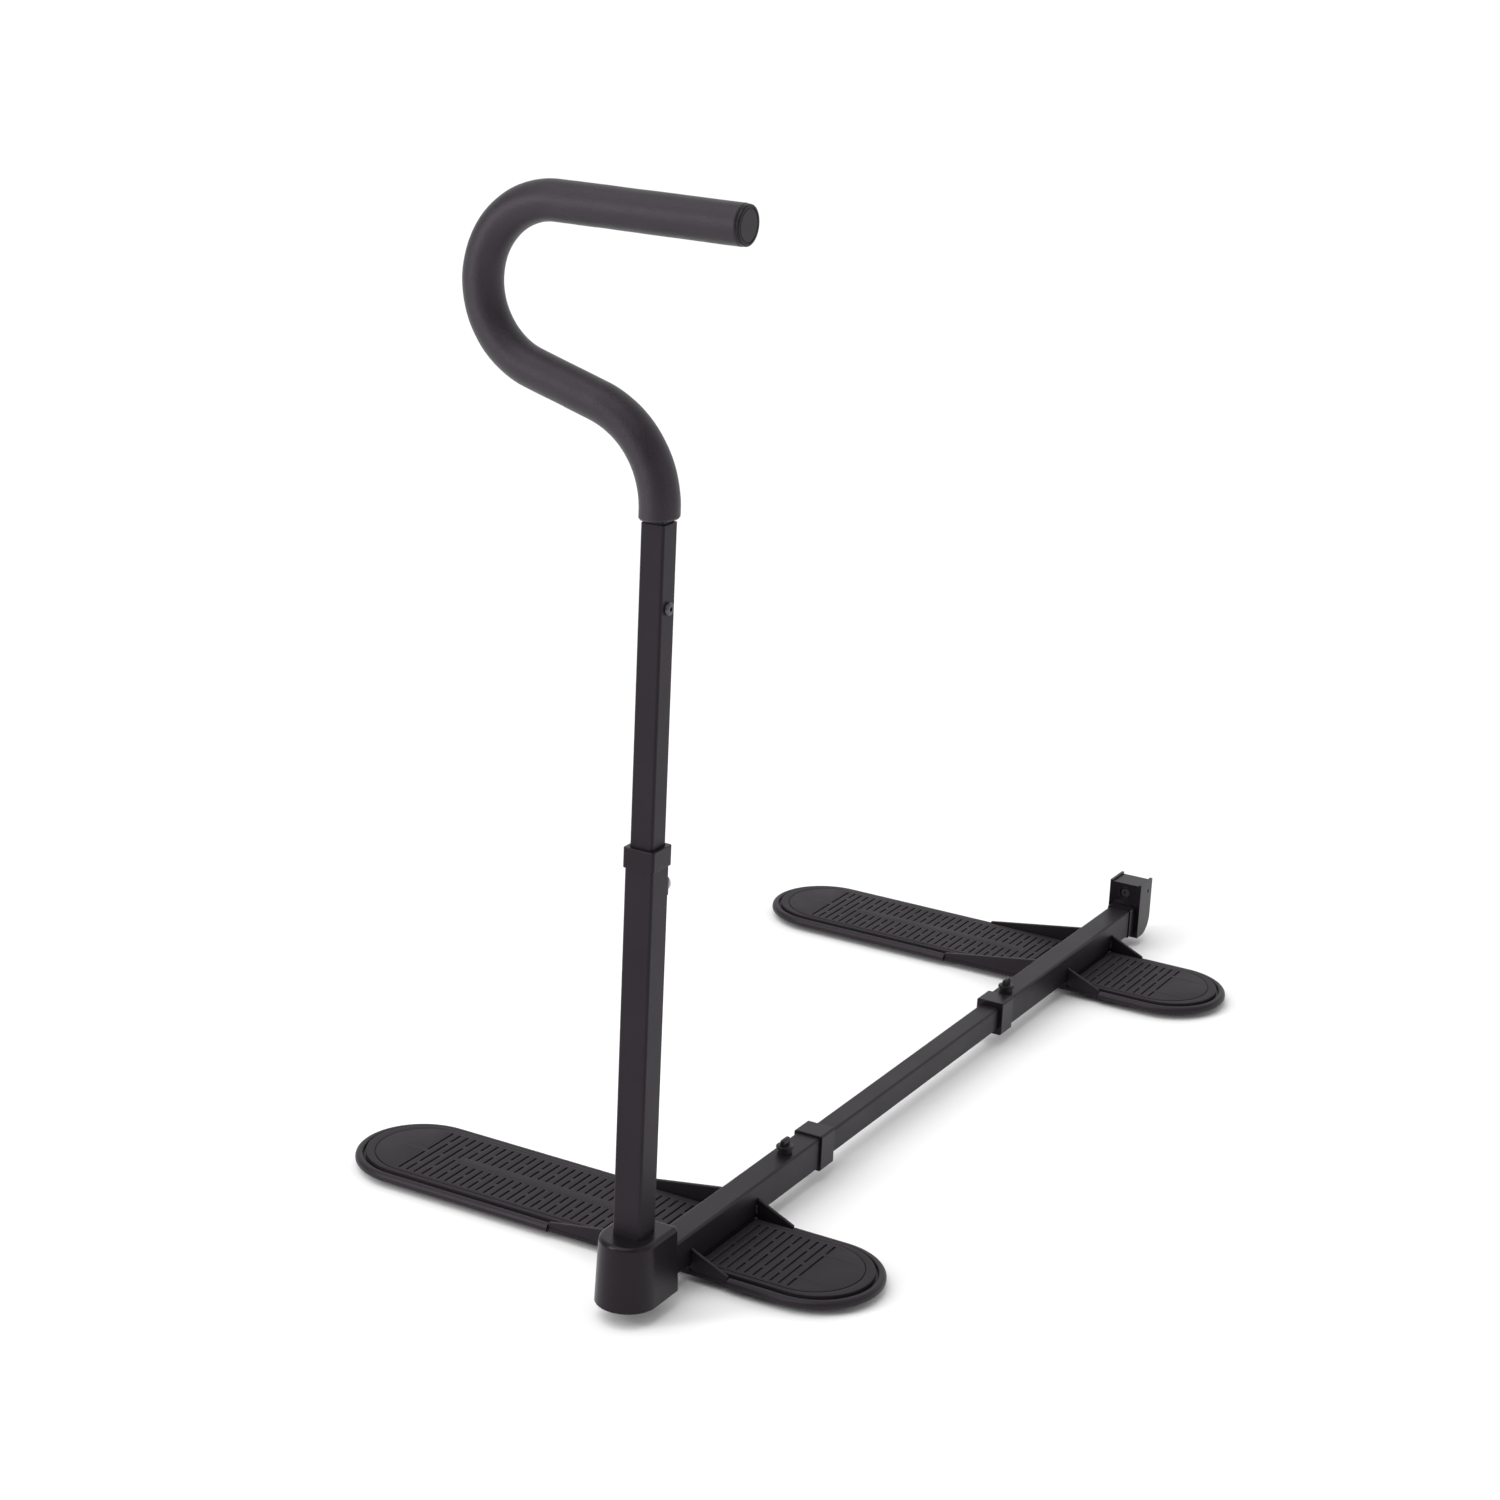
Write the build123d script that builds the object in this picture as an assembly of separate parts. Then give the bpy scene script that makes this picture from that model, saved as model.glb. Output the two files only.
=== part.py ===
from build123d import *
import os

# Bed assist rail: two foot plates, a telescopic rail and a telescopic post with a crook handle.
# Millimetres, drawn about the post's axis and the floor: +X to the short side of the foot plates,
# +Y along the rail to the rear, +Z up. The parts are saved with their origin on the floor under the
# rail, at the front foot plate's centre line.

os.makedirs("parts", exist_ok=True)

# ---- driving dimensions ----------------------------------------------------------------------
GAP = 0.3                # clearance between parts that slide past each other
SCREW_FIT = 0.05         # radial running clearance of a screw or pin in its bore
WALL = 1.5               # wall of the outer tubes
INNER_WALL = 1.2         # wall of the inner tubes
TUBE_ROUND = 2.0         # outside corner radius of the tubes

PLATE_LEFT = 328.0       # foot plate's reach to -X
PLATE_RIGHT = 146.0      # foot plate's reach to +X
PLATE_HALF = 55.0        # half width of a foot plate, and radius of its round ends
PLATE_SPACING = 695.0    # between the foot plates' centre lines
FRONT_PLATE_Y = 119.0    # centre line of the front foot plate
FOOT_PAD_Z = 6.0         # underside of the steel plate
PLATE_STEEL = 3.0        # thickness of the steel plate
TRIM_BOTTOM = 5.0        # lowest edge of the trim
TRIM_TOP = 11.6          # highest edge of the trim
TRIM_WALL = 3.0          # trim outside the steel's edge
TRIM_LIP = 6.5           # width of the trim seen from above
TRIM_CUT_GAP = 0.5       # between the trim's cut end and a gusset's tip
TRIM_TOP_ROUND = 3.0
TRIM_FOOT_ROUND = 1.5
TREAD_HALF = 46.5        # half width of the rubber tread
TREAD_TOP = 13.2
TREAD_ROUND = 1.0        # rounding of the tread's top edge
TREAD_RAIL_GAP = 13.0    # tread's distance from the rail's axis

RAIL_W = 22.0            # outer rail tube
RAIL_H = 27.0
RAIL_Z = 26.75           # height of the rail's axis
INNER_RAIL_W = 18.4
INNER_RAIL_H = 21.3
FRONT_RAIL_Y = (14.0, 290.5)
REAR_RAIL_Y = (616.5, 906.0)
INNER_RAIL_Y = (133.5, 773.5)
COLLAR_LENGTH = 22.0
COLLAR_WALL = 2.0
COLLAR_LIP = 3.0
KNOB_Y = {"front": 232.0, "rear": 646.5}

POST_W = 23.4            # lower post tube, square
POST_Z = (13.25, 367.0)
UPPER_POST_W = 19.0
UPPER_POST_Z = (230.0, 606.4)
POST_COLLAR_H = 15.5
POST_COLLAR_W = 25.8
SPIGOT_W = 16.0
HANDLE_SCREW_Z = 546.0

HANDLE_TUBE_R = 11.0
FOAM_R = 14.75
FOAM_START_Z = 608.5
NECK_Z = 615.0           # where the handle leaves the vertical
NECK_BEND_R = 71.5
NECK_TURN = 74.0         # degrees that the neck leans back to -X
SLOPE_LENGTH = 55.9      # straight piece between the two bends
CROOK_R = 60.0
CROOK_TURN = 164.0
GRIP_END_X = 58.5        # free end of the foam

BOOT_HALF = 24.4         # half width of the boot at its lower edge
BOOT_REAR = 29.5
BOOT_CENTRE_Y = -6.5     # centre of the boot's round front
BOOT_Z = (13.5, 66.0)
BOOT_WALL = 2.5
BOOT_DRAFT = 1.9         # degrees

LATCH_Z = 335.0          # height of the post latch

STOP_Y = (918.0, 946.0)  # rear stop bracket
STOP_Z = (9.0, 64.0)
STOP_HALF = 16.3
STOP_WALL = 2.5
STOP_SCREW_Z = 53.0
STOP_FOOT_ROUND = 18.0   # rounding of the bracket's lower rear corner
STOP_RECESS = 1.2        # front wall's drop below the side walls
STOP_BLOCK_INSET = 1.5   # mounting block below the top and short of the rear

STEEL = Color(0.10, 0.10, 0.12)
MOULDED = Color(0.18, 0.18, 0.20)
RUBBER = Color(0.05, 0.05, 0.05)
FOAM = Color(0.30, 0.30, 0.33)
BRIGHT = Color(0.65, 0.65, 0.68)


def save(name, shape, colour):
    """Write one sub-part to its own STEP file."""
    placed = Pos(0, -FRONT_PLATE_Y, 0) * shape
    placed.label = name
    placed.color = colour
    export_step(placed, f"parts/{name}.step")


def block(x, y, z):
    """Box given by its three (low, high) spans."""
    size = [high - low for low, high in (x, y, z)]
    centre = [(high + low) / 2 for low, high in (x, y, z)]
    return Pos(*centre) * Box(*size)


def rod(radius, start, end):
    """Cylinder from one point to another, along a row axis."""
    axis = Vector(*end) - Vector(*start)
    return extrude(Plane(origin=start, z_dir=axis) * Circle(radius), axis.length)


def grouped(solids):
    """Separate solids of one node."""
    return Compound(children=list(solids))


# ---- square tubes ----------------------------------------------------------------------------
def section(width, height, corner):
    return RectangleRounded(width, height, corner) if corner > 0 else Rectangle(width, height)


def tube_profile(width, height, wall):
    inner_corner = TUBE_ROUND - wall
    return section(width, height, TUBE_ROUND) - section(width - 2 * wall, height - 2 * wall, inner_corner)


def along_rail(profile, y):
    """Extrude a profile drawn in X and Z along the rail."""
    plane = Plane(origin=(0, y[0], RAIL_Z), x_dir=(-1, 0, 0), z_dir=(0, 1, 0))
    return extrude(plane * profile, y[1] - y[0])


def up_post(profile, z):
    return extrude(Plane(origin=(0, 0, z[0])) * profile, z[1] - z[0])


# ---- foot plates -----------------------------------------------------------------------------
def stadium(half, left=PLATE_LEFT, right=PLATE_RIGHT):
    """Slot outline whose round ends keep their centres as its half width changes."""
    inset = PLATE_HALF - half
    length = left + right - 2 * inset
    return Pos((right - left) / 2, 0) * SlotOverall(length, 2 * half)


GUSSET_Y = 51.5          # centre of a gusset's thickness, from the plate's centre line
GUSSET_T = 3.0
LONG_GUSSET = {"rail": (-RAIL_W / 2, 30.0), "tip": (-117.0, 13.2)}
SHORT_GUSSET = {"rail": (RAIL_W / 2, 28.0), "tip": (44.0, 13.2)}
STEEL_TOP = FOOT_PAD_Z + PLATE_STEEL
RAIL_BOTTOM = RAIL_Z - RAIL_H / 2


def plate_at(y, shape):
    return Pos(0, y, 0) * shape


def foot_plate(y):
    """Steel plate with shoulders that reach out to carry the gussets."""
    steel = extrude(Plane(origin=(0, 0, FOOT_PAD_Z)) * stadium(PLATE_HALF - TRIM_WALL), PLATE_STEEL)
    shoulders = block((LONG_GUSSET["tip"][0], SHORT_GUSSET["tip"][0]),
                      (-GUSSET_Y - GUSSET_T / 2, GUSSET_Y + GUSSET_T / 2), (FOOT_PAD_Z, STEEL_TOP))
    return plate_at(y, steel + shoulders)


def edge_trim(y):
    """Two C-shaped mouldings that grip the plate's edge, one round each end."""
    outer = extrude(Plane(origin=(0, 0, TRIM_BOTTOM)) * stadium(PLATE_HALF), TRIM_TOP - TRIM_BOTTOM)
    outer = fillet(outer.edges().group_by(Axis.Z)[-1], TRIM_TOP_ROUND)
    outer = fillet(outer.edges().group_by(Axis.Z)[0], TRIM_FOOT_ROUND)
    hollow = extrude(Plane(origin=(0, 0, STEEL_TOP)) * stadium(PLATE_HALF - TRIM_LIP), TRIM_TOP)
    below = extrude(stadium(PLATE_HALF - TRIM_LIP), STEEL_TOP)
    steel = extrude(Plane(origin=(0, 0, FOOT_PAD_Z)) * stadium(PLATE_HALF - TRIM_WALL), PLATE_STEEL)
    ring = outer - hollow - below - steel
    left = (-PLATE_LEFT, LONG_GUSSET["tip"][0] - TRIM_CUT_GAP)
    right = (SHORT_GUSSET["tip"][0] + TRIM_CUT_GAP, PLATE_RIGHT)
    ends = []
    for x in (left, right):
        half_ring = ring & block(x, (-PLATE_HALF, PLATE_HALF), (0, 2 * TRIM_TOP))
        ends.extend(half_ring.solids())
    return plate_at(y, grouped(ends))


def tread(y, side):
    """Rubber tread on one side of the rail, rounded at the far end."""
    pad = extrude(Plane(origin=(0, 0, STEEL_TOP)) * stadium(TREAD_HALF), TREAD_TOP - STEEL_TOP)
    pad = fillet(pad.edges().group_by(Axis.Z)[-1], TREAD_ROUND)
    x = (-PLATE_LEFT, -TREAD_RAIL_GAP) if side == "left" else (TREAD_RAIL_GAP, PLATE_RIGHT)
    pad = pad & block(x, (-PLATE_HALF, PLATE_HALF), (0, 2 * TRIM_TOP))
    return plate_at(y, pad.solids()[0])


PAD_SIZE = (46.0, 60.0)
PAD_CORNER = 8.0
PAD_X = (-276.0, -207.0, -138.0, -69.0, 0.0, 69.0)


def rubber_feet(y):
    """Grip pads glued under the steel plate, well inside its edge."""
    pad = extrude(RectangleRounded(*PAD_SIZE, PAD_CORNER), FOOT_PAD_Z)
    return plate_at(y, grouped(Pos(x, 0) * pad for x in PAD_X))


def spacer_bar(y):
    """Steel bar welded between the plate and the rail tube."""
    return plate_at(y, block((-RAIL_W / 2, RAIL_W / 2), (-GUSSET_Y - GUSSET_T / 2, GUSSET_Y + GUSSET_T / 2),
                             (STEEL_TOP, RAIL_BOTTOM)))


def gussets(y, rail, tip):
    """Two upright webs from the rail's sides down to blunt tips on the plate."""
    outline = Polyline((rail[0], STEEL_TOP), rail, tip, (tip[0], STEEL_TOP), close=True)
    web = extrude(Plane.XZ * make_face(outline), GUSSET_T / 2, both=True)
    return plate_at(y, grouped(Pos(0, side * GUSSET_Y, 0) * web for side in (-1, 1)))


def foot_assembly(end, y):
    save(f"{end}_foot_plate", foot_plate(y), STEEL)
    save(f"{end}_edge_trim", edge_trim(y), MOULDED)
    save(f"{end}_tread_left", tread(y, "left"), RUBBER)
    save(f"{end}_tread_right", tread(y, "right"), RUBBER)
    save(f"{end}_rubber_feet", rubber_feet(y), RUBBER)
    save(f"{end}_spacer_bar", spacer_bar(y), STEEL)
    save(f"{end}_long_gussets", gussets(y, **LONG_GUSSET), STEEL)
    save(f"{end}_short_gussets", gussets(y, **SHORT_GUSSET), STEEL)


# ---- rail ------------------------------------------------------------------------------------
SCREW_R = 3.0
SCREW_HOLE_R = 3.4       # hole in the tube's wall, wider than the screw
TIP_GAP = 0.4            # between the tip of a lock and the tube it presses on
NUT_R = 6.0
NUT_H = 4.0
KNOB_FLANGE_R = 7.2
KNOB_FLANGE_T = 2.6
KNOB_TAB = (4.0, 11.0, 6.2)    # thumb tab's thickness, length and height
COLLAR_SOFTEN = 0.6      # rounding of a collar's end faces
RAIL_TOP = RAIL_Z + RAIL_H / 2


def outer_rail(y, knob_y):
    """Outer tube with a hole under its weld nut."""
    tube = along_rail(tube_profile(RAIL_W, RAIL_H, WALL), y)
    return tube - rod(SCREW_HOLE_R, (0, knob_y, RAIL_Z), (0, knob_y, RAIL_TOP + 1))


def rail_collar(y, mouth):
    """Moulded collar over the tube's end; mouth is +1 when the inner tube leaves to +Y."""
    outer = section(RAIL_W + 2 * COLLAR_WALL, RAIL_H + 2 * COLLAR_WALL, TUBE_ROUND)
    body = along_rail(outer, (y, y + COLLAR_LENGTH))
    body = fillet(body.edges().group_by(Axis.Y)[0], COLLAR_SOFTEN)
    body = fillet(body.edges().group_by(Axis.Y)[-1], COLLAR_SOFTEN)
    sleeve = (y, y + COLLAR_LENGTH - COLLAR_LIP) if mouth > 0 else (y + COLLAR_LIP, y + COLLAR_LENGTH)
    body = body - along_rail(section(RAIL_W, RAIL_H, TUBE_ROUND), sleeve)
    opening = section(INNER_RAIL_W + 2 * GAP, INNER_RAIL_H + 2 * GAP, TUBE_ROUND)
    return body - along_rail(opening, (y, y + COLLAR_LENGTH))


def weld_nut(knob_y):
    nut = rod(NUT_R, (0, knob_y, RAIL_TOP), (0, knob_y, RAIL_TOP + NUT_H))
    bore = rod(SCREW_R + SCREW_FIT, (0, knob_y, RAIL_TOP), (0, knob_y, RAIL_TOP + NUT_H))
    return nut - bore


def thumb_screw(knob_y):
    """Flanged screw with a flat thumb tab; its tip stops just short of the inner tube."""
    thickness, length, height = KNOB_TAB
    tip = RAIL_Z + INNER_RAIL_H / 2 + TIP_GAP
    seat = RAIL_TOP + NUT_H + GAP
    top = seat + KNOB_FLANGE_T
    shank = rod(SCREW_R, (0, knob_y, tip), (0, knob_y, top))
    flange = fillet(rod(KNOB_FLANGE_R, (0, knob_y, seat), (0, knob_y, top)).edges(), 0.5)
    tab = block((-thickness / 2, thickness / 2), (knob_y - length / 2, knob_y + length / 2),
                (seat + 2, seat + 2 + height))
    tab = fillet(tab.edges().group_by(Axis.Z)[-1], 0.8)
    return shank + flange + tab


def inner_rail():
    return along_rail(tube_profile(INNER_RAIL_W, INNER_RAIL_H, INNER_WALL), INNER_RAIL_Y)


GLIDE_FLANGE = 6.0
GLIDE_PLUG = 14.0
GLIDE_CORNER = 0.8


def glide_plug(y, out):
    """Plug in an end of the inner rail whose flange slides in the outer tube."""
    bore = (RAIL_W - 2 * WALL, RAIL_H - 2 * WALL)
    flange = section(bore[0] - 2 * GAP, bore[1] - 2 * GAP, GLIDE_CORNER)
    plug = section(INNER_RAIL_W - 2 * INNER_WALL, INNER_RAIL_H - 2 * INNER_WALL, TUBE_ROUND - INNER_WALL)
    flange_span = (y, y + GLIDE_FLANGE) if out > 0 else (y - GLIDE_FLANGE, y)
    plug_span = (y - GLIDE_PLUG, y) if out > 0 else (y, y + GLIDE_PLUG)
    return along_rail(flange, flange_span) + along_rail(plug, plug_span)


def rail_assembly():
    for end, y in (("front", FRONT_RAIL_Y), ("rear", REAR_RAIL_Y)):
        save(f"{end}_rail_tube", outer_rail(y, KNOB_Y[end]), STEEL)
        save(f"{end}_weld_nut", weld_nut(KNOB_Y[end]), STEEL)
        save(f"{end}_thumb_screw", thumb_screw(KNOB_Y[end]), MOULDED)
    save("front_rail_collar", rail_collar(FRONT_RAIL_Y[1] + COLLAR_LIP - COLLAR_LENGTH, 1), MOULDED)
    save("rear_rail_collar", rail_collar(REAR_RAIL_Y[0] - COLLAR_LIP, -1), MOULDED)
    save("inner_rail_tube", inner_rail(), STEEL)
    save("front_glide_plug", glide_plug(INNER_RAIL_Y[0], -1), MOULDED)
    save("rear_glide_plug", glide_plug(INNER_RAIL_Y[1], 1), MOULDED)


# ---- rear stop bracket -----------------------------------------------------------------------
STOP_INSIDE = STOP_Y[0] + STOP_WALL        # rear face of the bracket's front wall
STOP_ROOM_X = (-STOP_HALF + STOP_WALL, STOP_HALF - STOP_WALL)
NECK_OVER = 1.0          # neck's margin round the rail tube
BRIDGE = (RAIL_W - 4.0, RAIL_H - 4.0)      # tongue through the bracket's front wall
MOUNT_PLUG = 16.0
SUNK_R = 5.2             # sunk screw's hole, head, shank and socket
SUNK_HEAD = (4.4, 1.8)
SMALL_SHANK_R = 2.5
STOP_SHANK = 14.0
STOP_TAPPED = 18.0
SUNK_SOCKET = (2.0, 1.3)
SIDE_HOLE = (1.8, 9.0)   # radius, and distance from the bracket's rear edge


def bridge_section():
    return section(*BRIDGE, 1.0)


def stop_mount():
    """Plug in the rail's rear end with a block that the stop bracket is screwed to."""
    end = REAR_RAIL_Y[1]
    plug = along_rail(section(RAIL_W - 2 * WALL, RAIL_H - 2 * WALL, 0.5), (end - MOUNT_PLUG, end))
    neck = along_rail(section(RAIL_W + 2 * NECK_OVER, RAIL_H + 2 * NECK_OVER, 1.5), (end, STOP_Y[0]))
    behind = block(STOP_ROOM_X, (STOP_INSIDE, STOP_Y[1] - STOP_BLOCK_INSET),
                   (RAIL_BOTTOM, STOP_Z[1] - STOP_BLOCK_INSET))
    bridge = along_rail(bridge_section(), (end, STOP_INSIDE + 1))
    tapped = rod(SMALL_SHANK_R, (0, STOP_Y[0], STOP_SCREW_Z), (0, STOP_Y[0] + STOP_TAPPED, STOP_SCREW_Z))
    return plug + neck + bridge + behind - tapped


def stop_bracket():
    """Folded cover: front wall and two side walls with a rounded rear foot."""
    front, rear = STOP_Y
    low, high = STOP_Z
    outline = Polyline((front, low), (front, high), (rear, high), (rear, low), close=True)
    cover = extrude(Plane.YZ * make_face(outline), STOP_HALF, both=True)
    rear_foot = cover.edges().filter_by(Axis.X).group_by(Axis.Y)[-1].sort_by(Axis.Z)[0]
    cover = fillet(rear_foot, STOP_FOOT_ROUND)
    room = block(STOP_ROOM_X, (STOP_INSIDE, rear + 1), (low - 1, high + 1))
    window = along_rail(bridge_section(), (front - 1, STOP_INSIDE + 1))
    screw_hole = rod(SUNK_R, (0, front - 1, STOP_SCREW_Z), (0, STOP_INSIDE + 1, STOP_SCREW_Z))
    radius, inset = SIDE_HOLE
    side_hole = rod(radius, (STOP_ROOM_X[1] - 1, rear - inset, STOP_SCREW_Z),
                    (STOP_HALF + 1, rear - inset, STOP_SCREW_Z))
    recess = block(STOP_ROOM_X, (front - 1, STOP_INSIDE + 1), (high - STOP_RECESS, high + 1))
    return cover - room - window - screw_hole - side_hole - recess


def stop_screw():
    """Sunk screw in the front wall's hole."""
    head_r, head_t = SUNK_HEAD
    face = STOP_INSIDE - head_t
    head = rod(head_r, (0, face, STOP_SCREW_Z), (0, STOP_INSIDE, STOP_SCREW_Z))
    shank = rod(SMALL_SHANK_R, (0, STOP_INSIDE, STOP_SCREW_Z), (0, STOP_INSIDE + STOP_SHANK, STOP_SCREW_Z))
    radius, depth = SUNK_SOCKET
    socket_plane = Plane(origin=(0, face, STOP_SCREW_Z), z_dir=(0, 1, 0))
    return head + shank - extrude(socket_plane * RegularPolygon(radius, 6), depth)


def stop_assembly():
    save("rear_stop_mount", stop_mount(), MOULDED)
    save("rear_stop_bracket", stop_bracket(), MOULDED)
    save("rear_stop_screw", stop_screw(), BRIGHT)


# ---- boot ------------------------------------------------------------------------------------
BOOT_CORNER = 4.0        # rounding of the boot's upright rear corners
BOOT_TOP_ROUND = 3.5
WELD_PLATE_TOP = 52.0
FOOT_PLUG = (2.5, 12.0)  # flange below the post and plug inside it


def boot_outline(inset):
    """Round front, straight sides and flat rear."""
    half = BOOT_HALF - inset
    front = BOOT_CENTRE_Y - half
    rear = BOOT_REAR - inset
    sides = Polyline((half, BOOT_CENTRE_Y), (half, rear), (-half, rear), (-half, BOOT_CENTRE_Y))
    nose = ThreePointArc((-half, BOOT_CENTRE_Y), (0, front), (half, BOOT_CENTRE_Y))
    return make_face(sides + nose)


def boot():
    height = BOOT_Z[1] - BOOT_Z[0]
    outer = extrude(Plane(origin=(0, 0, BOOT_Z[0])) * boot_outline(0), height, taper=BOOT_DRAFT)
    tall = [edge for edge in outer.edges() if edge.length > height / 2]
    upright = [edge for edge in tall if edge.center().Y > BOOT_REAR / 2]
    outer = fillet(upright, BOOT_CORNER)
    outer = fillet(outer.edges().group_by(Axis.Z)[-1], BOOT_TOP_ROUND)
    inner = extrude(Plane(origin=(0, 0, BOOT_Z[0])) * boot_outline(BOOT_WALL), height - BOOT_WALL,
                    taper=BOOT_DRAFT)
    post_hole = up_post(section(POST_W, POST_W, TUBE_ROUND), (0, BOOT_Z[1] + 1))
    rail_hole = along_rail(section(RAIL_W + 2 * GAP, RAIL_H + 2 * GAP, TUBE_ROUND),
                           (FRONT_RAIL_Y[0], BOOT_REAR + 5))
    return outer - inner - post_hole - rail_hole


def weld_plate():
    """Upright plate between the post's rear face and the rail's front end."""
    return block((-RAIL_W / 2, RAIL_W / 2), (POST_W / 2, FRONT_RAIL_Y[0]), (RAIL_BOTTOM, WELD_PLATE_TOP))


def post_foot_plug():
    """Plug that closes the lower end of the post, with a thin flange inside the tube's outline."""
    flange_t, plug_h = FOOT_PLUG
    bottom = POST_Z[0]
    inside = POST_W - 2 * WALL
    flange = up_post(section(POST_W, POST_W, TUBE_ROUND), (bottom - flange_t, bottom))
    return flange + up_post(section(inside, inside, TUBE_ROUND - WALL), (bottom, bottom + plug_h))


def boot_assembly():
    save("post_boot", boot(), MOULDED)
    save("weld_plate", weld_plate(), STEEL)
    save("post_foot_plug", post_foot_plug(), MOULDED)


# ---- post ------------------------------------------------------------------------------------
PIN_R = 3.5
PIN_HOLE_R = 3.9
PIN_HOLE_PITCH = 25.0
PIN_HOLES_ABOVE = 2
PIN_HOLES_BELOW = 6
LATCH_FACE = POST_W / 2
HANDLE_SCREW_HOLE_R = 2.6


def rear_hole(z, radius, y):
    return rod(radius, (0, y[0], z), (0, y[1], z))


def lower_post():
    tube = up_post(tube_profile(POST_W, POST_W, WALL), POST_Z)
    return tube - rear_hole(LATCH_Z, PIN_HOLE_R, (0, POST_W))


def upper_post():
    """Inner tube with a column of height holes at the rear and the handle screw's hole."""
    tube = up_post(tube_profile(UPPER_POST_W, UPPER_POST_W, INNER_WALL), UPPER_POST_Z)
    for step in range(-PIN_HOLES_ABOVE, PIN_HOLES_BELOW + 1):
        tube = tube - rear_hole(LATCH_Z + step * PIN_HOLE_PITCH, PIN_HOLE_R, (0, UPPER_POST_W))
    return tube - rod(HANDLE_SCREW_HOLE_R, (0, 0, HANDLE_SCREW_Z), (UPPER_POST_W, 0, HANDLE_SCREW_Z))


def post_collar():
    top = POST_Z[1] + COLLAR_LIP
    body = up_post(section(POST_COLLAR_W, POST_COLLAR_W, TUBE_ROUND), (top - POST_COLLAR_H, top))
    body = fillet(body.edges().group_by(Axis.Z)[-1], COLLAR_SOFTEN)
    body = fillet(body.edges().group_by(Axis.Z)[0], COLLAR_SOFTEN)
    body = body - up_post(section(POST_W, POST_W, TUBE_ROUND), (0, POST_Z[1]))
    return body - up_post(section(UPPER_POST_W + 2 * GAP, UPPER_POST_W + 2 * GAP, TUBE_ROUND), (0, top + 1))


def post_glide_plug():
    bottom = UPPER_POST_Z[0]
    width = POST_W - 2 * WALL - 2 * GAP
    flange = up_post(section(width, width, GLIDE_CORNER), (bottom - GLIDE_FLANGE, bottom))
    inside = UPPER_POST_W - 2 * INNER_WALL
    return flange + up_post(section(inside, inside, TUBE_ROUND - INNER_WALL), (bottom, bottom + GLIDE_PLUG))


LATCH_DEPTH = 7.0
LATCH_HALF = 7.5
LATCH_CORNER = 2.0
LATCH_KNOB_R = 6.0
LATCH_KNOB_T = 6.0


def latch_housing():
    """Small box on the post's rear face that guides the plunger."""
    y = (LATCH_FACE, LATCH_FACE + LATCH_DEPTH)
    box = block((-LATCH_HALF, LATCH_HALF), y, (LATCH_Z - LATCH_HALF, LATCH_Z + LATCH_HALF))
    box = fillet(box.edges().filter_by(Axis.Y), LATCH_CORNER)
    return box - rear_hole(LATCH_Z, PIN_R + SCREW_FIT, y)


def latch_plunger():
    """Pin with a pull knob; its tip stops just short of the upper tube."""
    tip = UPPER_POST_W / 2 + TIP_GAP
    outside = LATCH_FACE + LATCH_DEPTH + GAP
    pin = rear_hole(LATCH_Z, PIN_R, (tip, outside + 1))
    knob = fillet(rear_hole(LATCH_Z, LATCH_KNOB_R, (outside, outside + LATCH_KNOB_T)).edges(), 0.8)
    return pin + knob


def post_assembly():
    save("lower_post_tube", lower_post(), STEEL)
    save("post_collar", post_collar(), MOULDED)
    save("upper_post_tube", upper_post(), STEEL)
    save("post_glide_plug", post_glide_plug(), MOULDED)
    save("latch_housing", latch_housing(), MOULDED)
    save("latch_plunger", latch_plunger(), BRIGHT)


# ---- handle ----------------------------------------------------------------------------------
SPIGOT_CAP = 2.0
SPIGOT_LENGTH_BELOW = 50.0                  # below the handle screw
HANDLE_TUBE_START = FOAM_START_Z + 4.5
HANDLE_TUBE_END = GRIP_END_X - 1.0
END_CAP_T = 2.4
END_CAP_R = 14.2
END_CAP_PLUG = 16.0
END_CAP_ROUND = 0.9
BUTTON_R = 4.9
BUTTON_T = 2.6
BUTTON_ROUND = 1.8
BUTTON_SOCKET = (1.8, 1.6)
HANDLE_SCREW_INNER_X = 2.0


def handle_path(start_z, end_x):
    """Neck up, bend back, slope, crook over and straight bar."""
    neck = Line((0, start_z), (0, NECK_Z))
    lean = JernArc(neck @ 1, neck % 1, NECK_BEND_R, NECK_TURN)
    slope = PolarLine(lean @ 1, SLOPE_LENGTH, 90 + NECK_TURN)
    crook = JernArc(slope @ 1, slope % 1, CROOK_R, -CROOK_TURN)
    bar = Line(crook @ 1, (end_x, (crook @ 1).Y))
    return Plane.XZ * Wire([neck, lean, slope, crook, bar])


def handle_sweep(radius, start_z, end_x):
    path = handle_path(start_z, end_x)
    return sweep(Plane(origin=(0, 0, start_z)) * Circle(radius), path=path)


def bar_height():
    return handle_path(HANDLE_TUBE_START, 0).bounding_box().max.Z


def handle_tube():
    outside = handle_sweep(HANDLE_TUBE_R, HANDLE_TUBE_START, HANDLE_TUBE_END)
    return outside - handle_sweep(HANDLE_TUBE_R - WALL, HANDLE_TUBE_START, HANDLE_TUBE_END)


def foam_grip():
    sleeve = handle_sweep(FOAM_R, FOAM_START_Z, GRIP_END_X)
    return sleeve - handle_sweep(HANDLE_TUBE_R, FOAM_START_Z, GRIP_END_X)


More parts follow.
